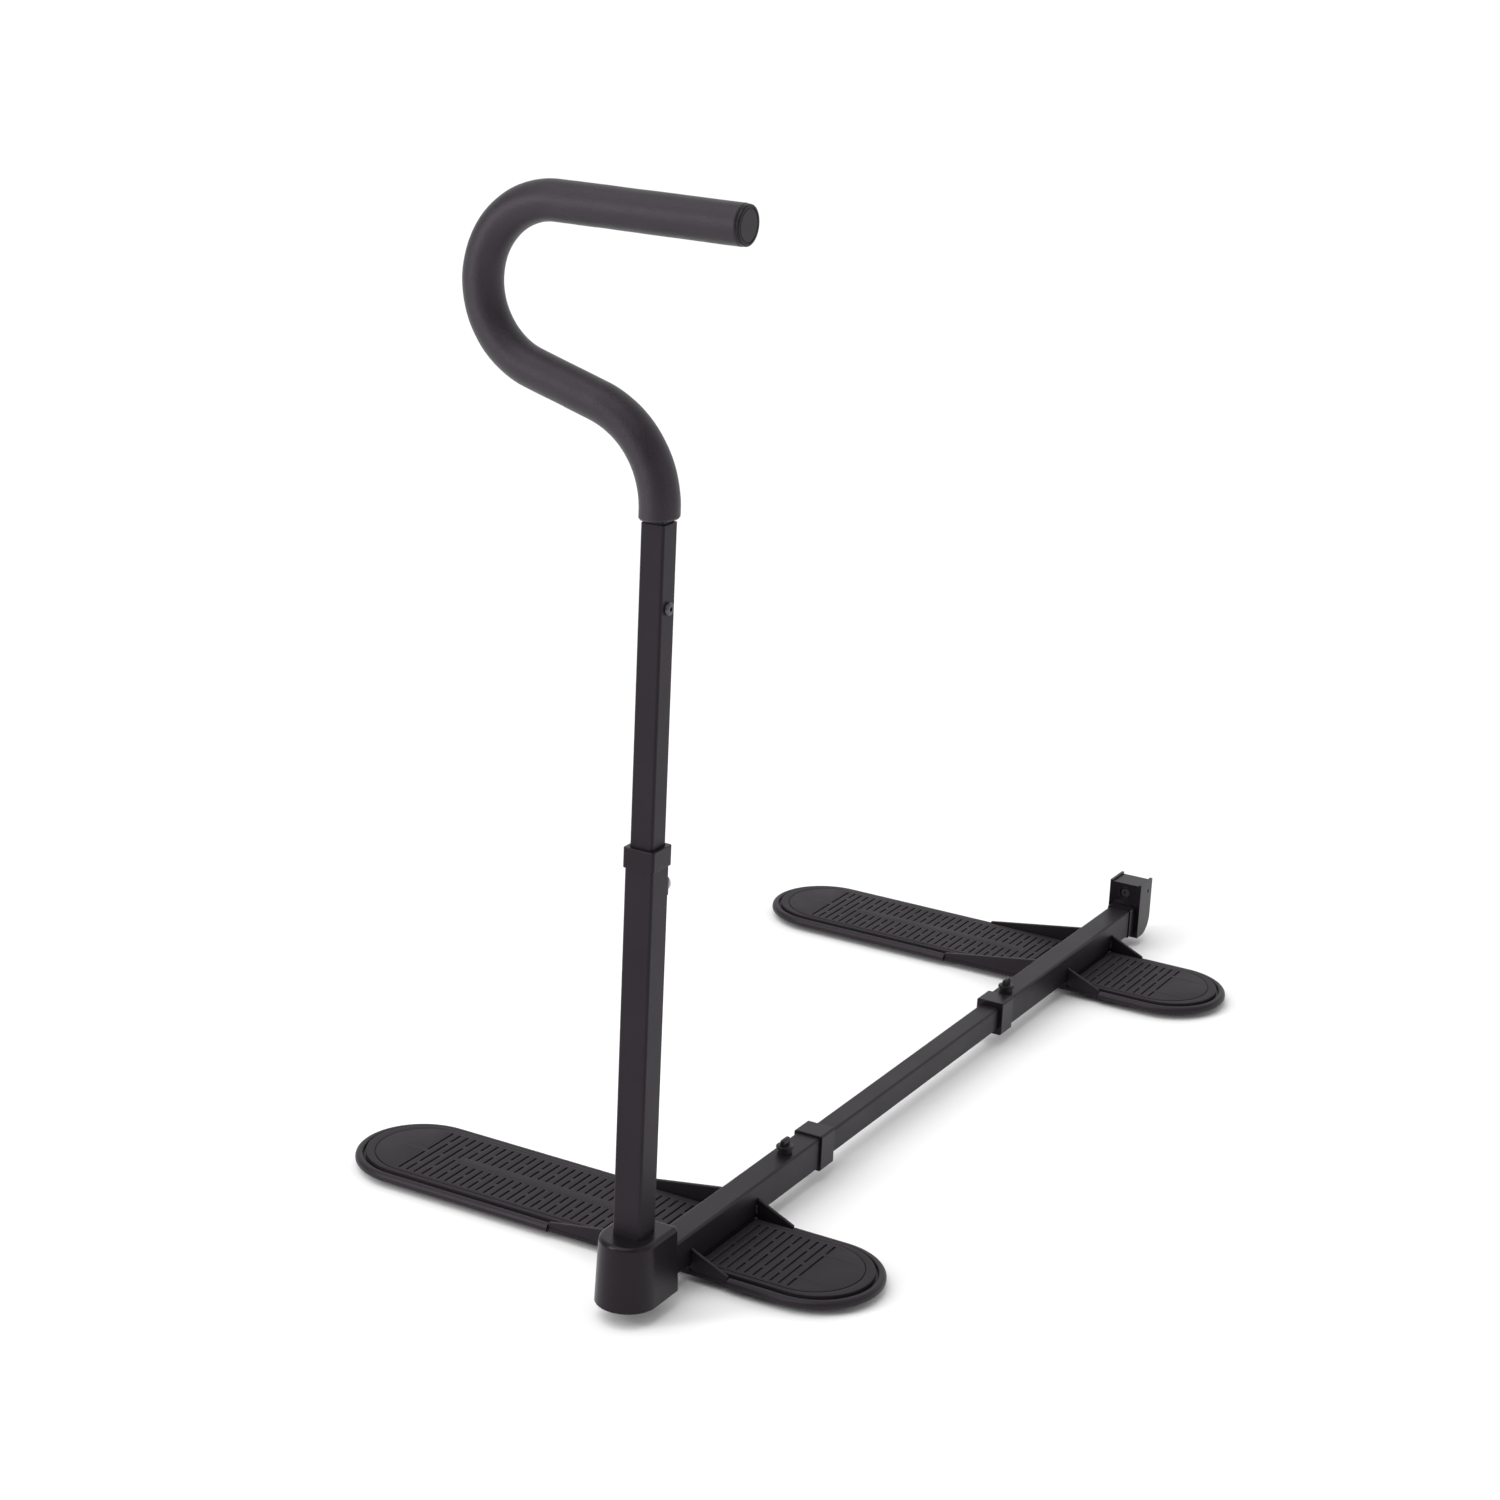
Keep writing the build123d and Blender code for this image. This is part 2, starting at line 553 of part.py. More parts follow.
def grip_end_cap():
    """Disc on the foam's end with a plug in the handle tube."""
    z = bar_height()
    disc = rod(END_CAP_R, (GRIP_END_X, 0, z), (GRIP_END_X + END_CAP_T, 0, z))
    disc = fillet(disc.edges().group_by(Axis.X)[-1], END_CAP_ROUND)
    step = rod(HANDLE_TUBE_R, (HANDLE_TUBE_END, 0, z), (GRIP_END_X, 0, z))
    plug = rod(HANDLE_TUBE_R - WALL, (HANDLE_TUBE_END - END_CAP_PLUG, 0, z), (HANDLE_TUBE_END, 0, z))
    return disc + step + plug


def handle_spigot():
    """Square tube inside the upper post tube, closed by the disc that the handle is welded to."""
    top = HANDLE_TUBE_START - SPIGOT_CAP
    spigot = up_post(tube_profile(SPIGOT_W, SPIGOT_W, WALL), (HANDLE_SCREW_Z - SPIGOT_LENGTH_BELOW, top))
    cap = rod(HANDLE_TUBE_R, (0, 0, top), (0, 0, HANDLE_TUBE_START))
    hole = rod(HANDLE_SCREW_HOLE_R, (0, 0, HANDLE_SCREW_Z), (SPIGOT_W, 0, HANDLE_SCREW_Z))
    return spigot + cap - hole


def handle_screw():
    """Button-head screw with a hexagon socket on the post's +X face."""
    face = UPPER_POST_W / 2
    head = rod(BUTTON_R, (face, 0, HANDLE_SCREW_Z), (face + BUTTON_T, 0, HANDLE_SCREW_Z))
    head = fillet(head.edges().group_by(Axis.X)[-1], BUTTON_ROUND)
    shank = rod(SMALL_SHANK_R, (HANDLE_SCREW_INNER_X, 0, HANDLE_SCREW_Z), (face, 0, HANDLE_SCREW_Z))
    radius, depth = BUTTON_SOCKET
    socket_plane = Plane(origin=(face + BUTTON_T, 0, HANDLE_SCREW_Z), z_dir=(-1, 0, 0))
    return head + shank - extrude(socket_plane * RegularPolygon(radius, 6), depth)


def handle_assembly():
    save("handle_tube", handle_tube(), STEEL)
    save("foam_grip", foam_grip(), FOAM)
    save("grip_end_cap", grip_end_cap(), MOULDED)
    save("handle_spigot", handle_spigot(), STEEL)
    save("handle_screw", handle_screw(), BRIGHT)


foot_assembly("front", FRONT_PLATE_Y)
foot_assembly("rear", FRONT_PLATE_Y + PLATE_SPACING)
rail_assembly()
stop_assembly()
boot_assembly()
post_assembly()
handle_assembly()
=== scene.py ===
import math
import random

import bmesh
import bpy
from mathutils import Matrix, Vector
from mathutils import noise as perlin


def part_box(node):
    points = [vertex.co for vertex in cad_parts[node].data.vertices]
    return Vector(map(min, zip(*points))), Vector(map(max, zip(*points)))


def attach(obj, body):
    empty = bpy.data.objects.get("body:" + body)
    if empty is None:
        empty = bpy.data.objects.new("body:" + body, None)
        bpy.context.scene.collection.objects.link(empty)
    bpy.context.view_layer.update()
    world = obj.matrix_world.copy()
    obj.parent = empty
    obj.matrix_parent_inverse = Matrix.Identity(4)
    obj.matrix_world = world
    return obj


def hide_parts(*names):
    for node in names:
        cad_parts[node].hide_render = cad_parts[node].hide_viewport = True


# Looks of the bed assist rail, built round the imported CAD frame. Metres, +Z up, origin on the floor
# under the rail at the middle of the front foot plate.

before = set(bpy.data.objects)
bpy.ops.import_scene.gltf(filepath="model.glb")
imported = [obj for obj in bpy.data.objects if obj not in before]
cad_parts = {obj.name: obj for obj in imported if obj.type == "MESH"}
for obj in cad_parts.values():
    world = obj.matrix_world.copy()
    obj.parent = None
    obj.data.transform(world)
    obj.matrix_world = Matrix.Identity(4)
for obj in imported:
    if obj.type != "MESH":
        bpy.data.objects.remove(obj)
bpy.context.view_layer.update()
MM = 0.001


# ---- materials -------------------------------------------------------------------------------
CLOUD_SHARE = 0.65       # of the blotches in a surface's mottling; fine specks make up the rest
SPECK_SHARE = 0.35
NOISE_LOW, NOISE_HIGH = 0.3, 0.7         # most of a noise lies between these
MOTTLE_LOW, MOTTLE_HIGH = 0.32, 0.68     # ends of the mottling's colour ramp
SPECULAR_TINT = (1.0, 0.86, 1.0, 1.0)    # reflections lean to violet


def new_material(name):
    """Material with its node tree, shader and texture coordinates."""
    material = bpy.data.materials.new(name)
    material.use_nodes = True
    tree = material.node_tree
    shader = tree.nodes["Principled BSDF"]
    coords = tree.nodes.new("ShaderNodeTexCoord")
    return material, tree, shader, coords


def noise(tree, coords, scale, detail=3.0, roughness=0.55):
    """Noise texture in object space, scale in features per metre."""
    node = tree.nodes.new("ShaderNodeTexNoise")
    node.inputs["Scale"].default_value = scale
    node.inputs["Detail"].default_value = detail
    node.inputs["Roughness"].default_value = roughness
    tree.links.new(coords.outputs["Object"], node.inputs["Vector"])
    return node.outputs["Fac"]


def ramp(tree, factor, stops):
    """Colour ramp through (position, colour) stops."""
    node = tree.nodes.new("ShaderNodeValToRGB")
    elements = node.color_ramp.elements
    while len(elements) < len(stops):
        elements.new(0.5)
    for element, (position, colour) in zip(elements, stops):
        element.position = position
        element.color = (*colour, 1.0)
    tree.links.new(factor, node.inputs["Fac"])
    return node.outputs["Color"]


def map_range(tree, factor, low, high):
    """Spread the middle of a noise over low to high."""
    node = tree.nodes.new("ShaderNodeMapRange")
    node.inputs["From Min"].default_value = NOISE_LOW
    node.inputs["From Max"].default_value = NOISE_HIGH
    node.inputs["To Min"].default_value = low
    node.inputs["To Max"].default_value = high
    tree.links.new(factor, node.inputs["Value"])
    return node.outputs["Result"]


def bump(tree, height, distance, strength=1.0, base=None):
    """Bump on top of an earlier one, if there is one."""
    node = tree.nodes.new("ShaderNodeBump")
    node.inputs["Strength"].default_value = strength
    node.inputs["Distance"].default_value = distance
    tree.links.new(height, node.inputs["Height"])
    if base is not None:
        tree.links.new(base, node.inputs["Normal"])
    return node.outputs["Normal"]


def surface(name, dark, light, rough, grains, blotch=18.0, sheen=0.0, specular=0.5, metallic=0.0):
    """Shared recipe: blotchy colour and roughness over one or two scales of grain.

    grains is a list of (features per metre, height in metres, strength)."""
    material, tree, shader, coords = new_material(name)
    cloud = noise(tree, coords, blotch, 4.0, 0.6)
    speck = noise(tree, coords, grains[0][0], 2.0, 0.5)
    mixed = tree.nodes.new("ShaderNodeMath")
    mixed.operation = "MULTIPLY_ADD"
    mixed.inputs[1].default_value = SPECK_SHARE
    tree.links.new(speck, mixed.inputs[0])
    scaled = tree.nodes.new("ShaderNodeMath")
    scaled.operation = "MULTIPLY"
    scaled.inputs[1].default_value = CLOUD_SHARE
    tree.links.new(cloud, scaled.inputs[0])
    tree.links.new(scaled.outputs[0], mixed.inputs[2])
    colour = ramp(tree, mixed.outputs[0], [(MOTTLE_LOW, dark), (MOTTLE_HIGH, light)])
    tree.links.new(colour, shader.inputs["Base Color"])
    tree.links.new(map_range(tree, mixed.outputs[0], *rough), shader.inputs["Roughness"])
    normal = None
    for scale, height, strength in grains:
        normal = bump(tree, noise(tree, coords, scale, 2.0, 0.5), height, strength, normal)
    tree.links.new(normal, shader.inputs["Normal"])
    shader.inputs["Sheen Weight"].default_value = sheen
    shader.inputs["Sheen Roughness"].default_value = 0.6
    shader.inputs["Specular IOR Level"].default_value = specular
    shader.inputs["Specular Tint"].default_value = SPECULAR_TINT
    shader.inputs["Metallic"].default_value = metallic
    return material


POWDER = surface("powder_coat", (0.0075, 0.0062, 0.0080), (0.0120, 0.0100, 0.0126), (0.38, 0.48),
                 [(1700, 0.00006, 0.45), (420, 0.00005, 0.2)], specular=0.20)
MOULDED = surface("moulded_plastic", (0.0055, 0.0046, 0.0058), (0.0095, 0.0080, 0.0098), (0.26, 0.36),
                  [(2200, 0.00004, 0.3)], specular=0.20)
TRIM = surface("trim_plastic", (0.0085, 0.0074, 0.0086), (0.0140, 0.0120, 0.0140), (0.40, 0.52),
               [(1500, 0.00006, 0.4)], specular=0.26)
RUBBER = surface("tread_rubber", (0.0105, 0.0090, 0.0106), (0.0185, 0.0160, 0.0184), (0.50, 0.66),
                 [(1300, 0.0001, 0.45), (300, 0.00006, 0.25)], specular=0.22)
FOAM = surface("foam_skin", (0.0055, 0.0046, 0.0062), (0.0135, 0.0116, 0.0150), (0.38, 0.48),
               [(1500, 0.00035, 0.7), (520, 0.0004, 0.40)], blotch=40.0, sheen=0.02, specular=0.40)
ZINC = surface("zinc_screw", (0.22, 0.22, 0.23), (0.42, 0.42, 0.43), (0.28, 0.42),
               [(2600, 0.00003, 0.3)], metallic=1.0)
DARK_SCREW = surface("dark_screw", (0.05, 0.048, 0.052), (0.11, 0.107, 0.115), (0.24, 0.36),
                     [(2600, 0.00003, 0.3)], metallic=0.85)
WELD = surface("weld_bead", (0.009, 0.008, 0.0095), (0.017, 0.015, 0.0175), (0.32, 0.42),
               [(1600, 0.0001, 0.5)], specular=0.4)


# ---- mesh helpers ----------------------------------------------------------------------------
def piece(name, body, material, mesh):
    """Object of one mesh, riding on a body, with its material and slot."""
    thing = bpy.data.objects.new(name, mesh)
    bpy.context.scene.collection.objects.link(thing)
    thing.data.materials.clear()
    thing.data.materials.append(material)
    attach(thing, body)
    return thing


def smooth(mesh, angle=35.0):
    """Smooth shading with sharp edges past an angle."""
    for polygon in mesh.polygons:
        polygon.use_smooth = True
    mesh.set_sharp_from_angle(angle=math.radians(angle))


def mesh_from(name, build):
    """Mesh filled by a bmesh function."""
    bm = bmesh.new()
    build(bm)
    bmesh.ops.remove_doubles(bm, verts=bm.verts, dist=1e-7)
    bmesh.ops.recalc_face_normals(bm, faces=bm.faces)
    mesh = bpy.data.meshes.new(name)
    bm.to_mesh(mesh)
    bm.free()
    smooth(mesh)
    return mesh


def skin_rings(bm, rings, closed=False):
    """Quads between rings of the same number of points; returns the rings' vertices."""
    made = [[bm.verts.new(point) for point in ring] for ring in rings]
    pairs = list(zip(made, made[1:])) + ([(made[-1], made[0])] if closed else [])
    for low, high in pairs:
        count = len(low)
        for i in range(count):
            bm.faces.new((low[i], low[(i + 1) % count], high[(i + 1) % count], high[i]))
    return made


# ---- foam grip -------------------------------------------------------------------------------
NECK_Z = 0.615
NECK_BEND_R = 0.0715
NECK_TURN = math.radians(74.0)
SLOPE_LENGTH = 0.0559
CROOK_R = 0.060
CROOK_TURN = math.radians(164.0)
RING_STEP = 0.0016
RING_POINTS = 72
CUT_SLOPE = 0.085        # slant of the foam's lower cut
CUT_FADE = 0.016         # height over which the slant dies out
FOAM_ROLL = 1.2 * MM     # softened edge at both ends of the foam
FOAM_UNEVEN = 0.35 * MM
FOAM_LUMP = 0.018        # size of the noise that makes it uneven
FOAM_SHIFT = Vector((3.1, 1.7, 2.3))     # where in the noise the foam lies


def handle_points(start_z, end_x):
    """Centreline points (x, z) with unit tangents, at about RING_STEP."""
    runs = [("line", NECK_Z - start_z, 0), ("arc", NECK_BEND_R, NECK_TURN), ("line", SLOPE_LENGTH, 0),
            ("arc", CROOK_R, -CROOK_TURN), ("line", None, 0)]
    x, z, heading = 0.0, start_z, math.pi / 2
    out = []
    for kind, size, turn in runs:
        if size is None:
            size = end_x - x
        length = size if kind == "line" else size * abs(turn)
        steps = max(2, round(length / RING_STEP))
        for i in range(steps):
            out.append((x, z, heading))
            heading_mid = heading + turn / steps / 2
            x += length / steps * math.cos(heading_mid)
            z += length / steps * math.sin(heading_mid)
            heading += turn / steps
    out.append((x, z, heading))
    return out


def build_foam(bm, radius, bore):
    """Foam sleeve: soft rolled edges at both ends and an open bore; uneven() adds the slight unevenness of
    hand-pushed foam afterwards.
    """
    low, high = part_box("foam_grip")
    post_y = (low.y + high.y) / 2
    stations = handle_points(low.z, high.x)
    count = len(stations)
    rings = []

    def ring(station, r):
        x, z, heading = station
        side = Vector((-math.sin(heading), 0, math.cos(heading)))
        points = []
        for k in range(RING_POINTS):
            a = 2 * math.pi * k / RING_POINTS
            place = Vector((x, post_y, z)) + side * (r * math.cos(a)) + Vector((0, r * math.sin(a), 0))
            place.z += CUT_SLOPE * place.x * max(0.0, 1 - (z - low.z) / CUT_FADE)
            points.append(place)
        return points

    rings.append(ring(stations[0], bore))
    for i, station in enumerate(stations):
        along = min(i, count - 1 - i) * RING_STEP
        edge = max(0.0, 1 - along / FOAM_ROLL)
        r = radius - FOAM_ROLL * (1 - math.sqrt(max(0.0, 1 - edge * edge)))
        rings.append(ring(station, min(r, radius)))
    rings.append(ring(stations[-1], bore))
    skin_rings(bm, rings)


def uneven(mesh):
    """Move points along their normals by smooth noise, never outwards past the nominal surface."""
    for vertex in mesh.vertices:
        value = perlin.noise(vertex.co / FOAM_LUMP + FOAM_SHIFT)
        vertex.co -= vertex.normal * FOAM_UNEVEN * (0.5 + 0.5 * value)


def foam_grip():
    """Foam sleeve in place of the CAD one."""
    low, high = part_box("foam_grip")
    radius = (high.y - low.y) / 2
    tube_low, tube_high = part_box("handle_tube")
    bore = (tube_high.y - tube_low.y) / 2
    mesh = mesh_from("foam_grip_soft", lambda bm: build_foam(bm, radius, bore))
    uneven(mesh)
    grip = piece("foam_grip_soft", "handle", FOAM, mesh)
    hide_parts("foam_grip")


# ---- treads ----------------------------------------------------------------------------------
COLUMN_PITCH = 7.45 * MM
DASH_WIDTH = 1.7 * MM
BREAK = 3.8 * MM
DASH_REACH = 38.5 * MM
STRIP_HALF = 6.0 * MM
OUTER_BREAK_Y = 21.5 * MM
PLATEAU_MARGIN = 4.6 * MM
PLATEAU_END = 4.0 * MM
FINE_LINE = 0.55 * MM
TREAD_LAYER = 1.3 * MM   # border and plateau above the slab
TREAD_SEAM = 0.2 * MM    # how far that layer sinks into the slab
SLAB_EDGE = 0.1 * MM
BORDER_EDGE = 0.45 * MM
PLATEAU_EDGE = 0.25 * MM
PLATEAU_INSET = 1.5 * MM         # from the tread's cut end
RIGHT_FIRST = 7.9 * MM           # first column's distance from the cut end
LEFT_FIRST = 3.5 * MM
RIGHT_COLUMNS = 10
LEFT_COLUMNS = 35
BANDED_COLUMNS = range(6, 30)    # left columns that leave the middle strip plain
ARC_POINTS = 48


def d_outline(tip_x, cut_x, half, round_x):
    """Points of a D: flat at cut_x, round at tip_x. round_x is the round's centre."""
    sign = 1 if tip_x > cut_x else -1
    points = [(cut_x, -half * sign), (round_x, -half * sign)]
    reach = abs(tip_x - round_x)
    for i in range(1, ARC_POINTS):
        a = -math.pi / 2 + math.pi * i / ARC_POINTS
        points.append((round_x + sign * reach * math.cos(a), sign * half * math.sin(a)))
    points += [(round_x, half * sign), (cut_x, half * sign)]
    return points


def dash_outline(x, low, high):
    """Slot with round ends, parallel to the rail."""
    r = DASH_WIDTH / 2
    points = []
    for centre, start in ((high - r, 0.0), (low + r, math.pi)):
        for i in range(7):
            a = start + math.pi * i / 6
            points.append((x + r * math.cos(a), centre + r * math.sin(a)))
    return points


def dashes(index, banded):
    """Spans in Y of one column's dashes, relative to the plate's centre line."""
    half_break = BREAK / 2
    outer = (OUTER_BREAK_Y + half_break, DASH_REACH)
    if banded:
        inner = (STRIP_HALF, OUTER_BREAK_Y - half_break)
        spans = [inner, outer] if index % 2 else [(STRIP_HALF, DASH_REACH)]
        return spans + [(-high, -low) for low, high in spans]
    if index % 2:
        return [outer, (-OUTER_BREAK_Y + half_break, OUTER_BREAK_Y - half_break), (-outer[1], -outer[0])]
    return [(half_break, DASH_REACH), (-DASH_REACH, -half_break)]


def filled(outlines, z, thickness, edge, y):
    """Solid from a closed outline with holes: flat faces, walls and softened edges."""
    curve = bpy.data.curves.new("outline", "CURVE")
    curve.dimensions = "2D"
    curve.fill_mode = "BOTH"
    curve.extrude = thickness / 2 - edge
    curve.bevel_depth = edge
    curve.bevel_resolution = 2
    curve.offset = -edge
    for points in outlines:
        spline = curve.splines.new("POLY")
        spline.points.add(len(points) - 1)
        for target, (px, py) in zip(spline.points, points):
            target.co = (px, py, 0, 1)
        spline.use_cyclic_u = True
    holder = bpy.data.objects.new("outline", curve)
    bpy.context.scene.collection.objects.link(holder)
    bpy.context.view_layer.update()
    mesh = bpy.data.meshes.new_from_object(holder.evaluated_get(bpy.context.evaluated_depsgraph_get()))
    bpy.data.objects.remove(holder)
    bpy.data.curves.remove(curve)
    mesh.transform(Matrix.Translation((0, y, z + thickness / 2)))
    return mesh


def joined(name, meshes):
    """One mesh from several."""
    bm = bmesh.new()
    for mesh in meshes:
        bm.from_mesh(mesh)
        bpy.data.meshes.remove(mesh)
    bmesh.ops.remove_doubles(bm, verts=bm.verts, dist=1e-7)
    out = bpy.data.meshes.new(name)
    bm.to_mesh(out)
    bm.free()
    smooth(out, 30)
    return out


def tread_slots(side, cut_x):
    """Outlines of all the dashes of one tread."""
    if side == "right":
        first, step, columns, banded = cut_x + RIGHT_FIRST, COLUMN_PITCH, RIGHT_COLUMNS, range(0)
    else:
        first, step, columns, banded = cut_x - LEFT_FIRST, -COLUMN_PITCH, LEFT_COLUMNS, BANDED_COLUMNS
    slots = []
    for i in range(columns):
        slots += [dash_outline(first + i * step, a, b) for a, b in dashes(i, i in banded)]
    return slots


def tread(end, side):
    """Rubber tread: slab, raised border, and a plateau cut by staggered dashes."""
    node = f"{end}_tread_{side}"
    low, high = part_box(node)
    y = (low.y + high.y) / 2
    half = (high.y - low.y) / 2
    sign = 1 if side == "right" else -1
    cut_x = low.x if side == "right" else high.x
    tip_x = high.x if side == "right" else low.x
    round_x = tip_x - sign * half
    border = d_outline(tip_x, cut_x, half, round_x)
    plateau_half = half - PLATEAU_MARGIN
    plateau_tip = tip_x - sign * (PLATEAU_MARGIN + PLATEAU_END)
    plateau_round = round_x - sign * PLATEAU_END
    inner_cut = cut_x + sign * PLATEAU_INSET
    plateau = d_outline(plateau_tip, inner_cut, plateau_half, plateau_round)
    hole = d_outline(plateau_tip + sign * FINE_LINE, inner_cut - sign * FINE_LINE, plateau_half + FINE_LINE,
                     plateau_round)
    slab_top = high.z - TREAD_LAYER
    seated = slab_top - TREAD_SEAM
    layer = high.z - slab_top
    parts = [filled([border], low.z, slab_top - low.z, SLAB_EDGE, y),
             filled([border, hole], seated, layer, BORDER_EDGE, y),
             filled([plateau, *tread_slots(side, cut_x)], seated, layer + TREAD_SEAM, PLATEAU_EDGE, y)]
    pad = piece(f"{node}_pad", f"{end}_base", RUBBER, joined(node, parts))
    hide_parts(node)


# ---- edge trims ------------------------------------------------------------------------------
FOOT_ROUND = 2.2 * MM    # rounding of the moulding's lower outer edge
CREST_ROUND = 3.6 * MM   # rounding of its upper outer edge
CREST_INSET = 4.9 * MM   # start of the inner rounding
INNER_ROUND = 1.6 * MM
LIP_DEPTH = 6.5 * MM
SHELF_DEPTH = 3.2 * MM
SHELF_SHARE = 0.55       # of the moulding's height
TRIM_CUT_GAP = 0.5 * MM


def trim_section(low_z, high_z):
    """Section of the trim as (inset from the outer edge, z), going round its outline."""
    shelf_z = low_z + SHELF_SHARE * (high_z - low_z)
    points = []
    for i in range(9):
        a = math.pi / 2 * i / 8
        points.append((FOOT_ROUND * (1 - math.sin(a)), low_z + FOOT_ROUND * (1 - math.cos(a))))
    for i in range(13):
        a = math.pi / 2 * i / 12
        points.append((CREST_ROUND * (1 - math.cos(a)), high_z - CREST_ROUND * (1 - math.sin(a))))
    for i in range(1, 9):
        a = math.pi / 2 * i / 8
        points.append((CREST_INSET + INNER_ROUND * math.sin(a), high_z - INNER_ROUND * (1 - math.cos(a))))
    points += [(LIP_DEPTH, shelf_z), (SHELF_DEPTH, shelf_z), (SHELF_DEPTH, low_z)]
    return points


def trim_path(tip_x, cut_x, half, y):
    """Stations round a C: position at the outer edge with the outward direction."""
    sign = 1 if tip_x > cut_x else -1
    round_x = tip_x - sign * half
    stations = []
    for i in range(2):
        x = cut_x + (round_x - cut_x) * i
        stations.append((Vector((x, y - sign * half, 0)), Vector((0, -sign, 0))))
    for i in range(1, 2 * ARC_POINTS):
        a = -math.pi / 2 + math.pi * i / (2 * ARC_POINTS)
        out = Vector((sign * math.cos(a), sign * math.sin(a), 0))
        stations.append((Vector((round_x, y, 0)) + out * half, out))
    for i in range(2):
        x = round_x + (cut_x - round_x) * i
        stations.append((Vector((x, y + sign * half, 0)), Vector((0, sign, 0))))
    return stations


def edge_trim(end):
    """Moulded edge in two C-shaped runs."""
    node = f"{end}_edge_trim"
    low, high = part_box(node)
    y = (low.y + high.y) / 2
    half = (high.y - low.y) / 2
    long_low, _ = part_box(f"{end}_long_gussets")
    _, short_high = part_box(f"{end}_short_gussets")
    section = trim_section(low.z, high.z)

    def build(bm):
        runs = ((low.x, long_low.x - TRIM_CUT_GAP), (high.x, short_high.x + TRIM_CUT_GAP))
        for tip_x, cut_x in runs:
            rings = []
            for place, out in trim_path(tip_x, cut_x, half, y):
                rings.append([place - out * inset + Vector((0, 0, z)) for inset, z in section])
            made = skin_rings(bm, rings)
            bm.faces.new(made[0])
            bm.faces.new(list(reversed(made[-1])))

    trim = piece(f"{node}_moulding", f"{end}_base", TRIM, mesh_from(node, build))
    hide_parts(node)


# ---- gussets and welds -----------------------------------------------------------------------
def plate_solid(bm, outline, y_low, y_high, edge):
    """Upright web with softened edges."""
    near = [bm.verts.new((x, y_low, z)) for x, z in outline]
    far = [bm.verts.new((x, y_high, z)) for x, z in outline]
    bm.faces.new(near)
    bm.faces.new(list(reversed(far)))
    count = len(outline)
    for i in range(count):
        bm.faces.new((near[i], far[i], far[(i + 1) % count], near[(i + 1) % count]))
    edges = {e for v in near + far for e in v.link_edges}
    bmesh.ops.bevel(bm, geom=list(edges), offset=edge, segments=3, profile=0.6, affect="EDGES")


GUSSET_T = 3.0 * MM
GUSSET_TIP_Z = 13.2 * MM
GUSSET_EDGE = 0.7 * MM
GUSSET_CLIP = 3.0 * MM   # clipped inner corner


def gusset_outline(rail_x, tip_x, base_z, top_z):
    """Web outline with a blunt tip and a clipped inner corner for the weld."""
    sign = 1 if tip_x > rail_x else -1
    return [(rail_x + sign * GUSSET_CLIP, base_z), (tip_x, base_z), (tip_x, GUSSET_TIP_Z),
            (rail_x, top_z), (rail_x, base_z + GUSSET_CLIP)]


def gussets(end, kind):
    """Pair of webs on one side of the rail."""
    node = f"{end}_{kind}_gussets"
    low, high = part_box(node)
    if kind == "long":
        rail_x, tip_x = high.x, low.x
    else:
        rail_x, tip_x = low.x, high.x

    def build(bm):
        outline = gusset_outline(rail_x, tip_x, low.z, high.z)
        for y in (low.y, high.y - GUSSET_T):
            plate_solid(bm, outline, y, y + GUSSET_T, GUSSET_EDGE)

    web = piece(f"{node}_webs", f"{end}_base", POWDER, mesh_from(node, build))
    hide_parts(node)


WELD_SEED = 7
WELD_RADIUS = 1.6 * MM
UPRIGHT_WELD_RADIUS = 1.4 * MM
WELD_SEAT = 0.3 * MM     # bead's centre outside the web and above the plate
RIPPLE_PITCH = 0.9       # in bead radii, as are the next two
RIPPLE_JITTER = 0.12
RIPPLE_SIZE = (0.85, 1.1)
RIPPLE_FLATTEN = 0.25    # share by which a ripple is shorter along the run
LONG_WELD_RUNS = ((-0.104, -0.084), (-0.072, -0.054), (-0.036, -0.020))
SHORT_WELD_RUN = (0.018, 0.034)
UPRIGHT_WELD_RISE = (6 * MM, 13 * MM)


def weld_bead(bm, start, end, radius, rng):
    """Row of overlapping weld ripples from start to end."""
    run = end - start
    count = max(3, round(run.length / (radius * RIPPLE_PITCH)))
    for i in range(count):
        place = start + run * ((i + 0.5) / count)
        jitter = Vector([rng.uniform(-1, 1) for _ in range(3)]) * radius * RIPPLE_JITTER
        size = radius * rng.uniform(*RIPPLE_SIZE)
        made = bmesh.ops.create_icosphere(bm, subdivisions=2, radius=size)
        direction = run.normalized()
        for vertex in made["verts"]:
            along = vertex.co.dot(direction)
            vertex.co -= direction * along * RIPPLE_FLATTEN
            vertex.co += place + jitter


def welds(end):
    """Short weld runs along the gussets' feet and up the rail's sides."""
    rng = random.Random(WELD_SEED)
    long_low, long_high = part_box(f"{end}_long_gussets")
    short_low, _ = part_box(f"{end}_short_gussets")
    base_z = long_low.z + WELD_SEAT
    low_rise, high_rise = UPRIGHT_WELD_RISE

    def foot_weld(bm, x_span, y):
        start, stop = (Vector((x, y, base_z)) for x in x_span)
        weld_bead(bm, start, stop, WELD_RADIUS, rng)

    def build(bm):
        for y in (long_low.y + GUSSET_T + WELD_SEAT, long_high.y - GUSSET_T - WELD_SEAT):
            for x_span in (*LONG_WELD_RUNS, SHORT_WELD_RUN):
                foot_weld(bm, x_span, y)
            for x in (long_high.x, short_low.x):
                weld_bead(bm, Vector((x, y, base_z + low_rise)), Vector((x, y, base_z + high_rise)),
                          UPRIGHT_WELD_RADIUS, rng)

    mesh = mesh_from(f"{end}_welds", build)
    piece(f"{end}_welds", f"{end}_base", WELD, mesh)


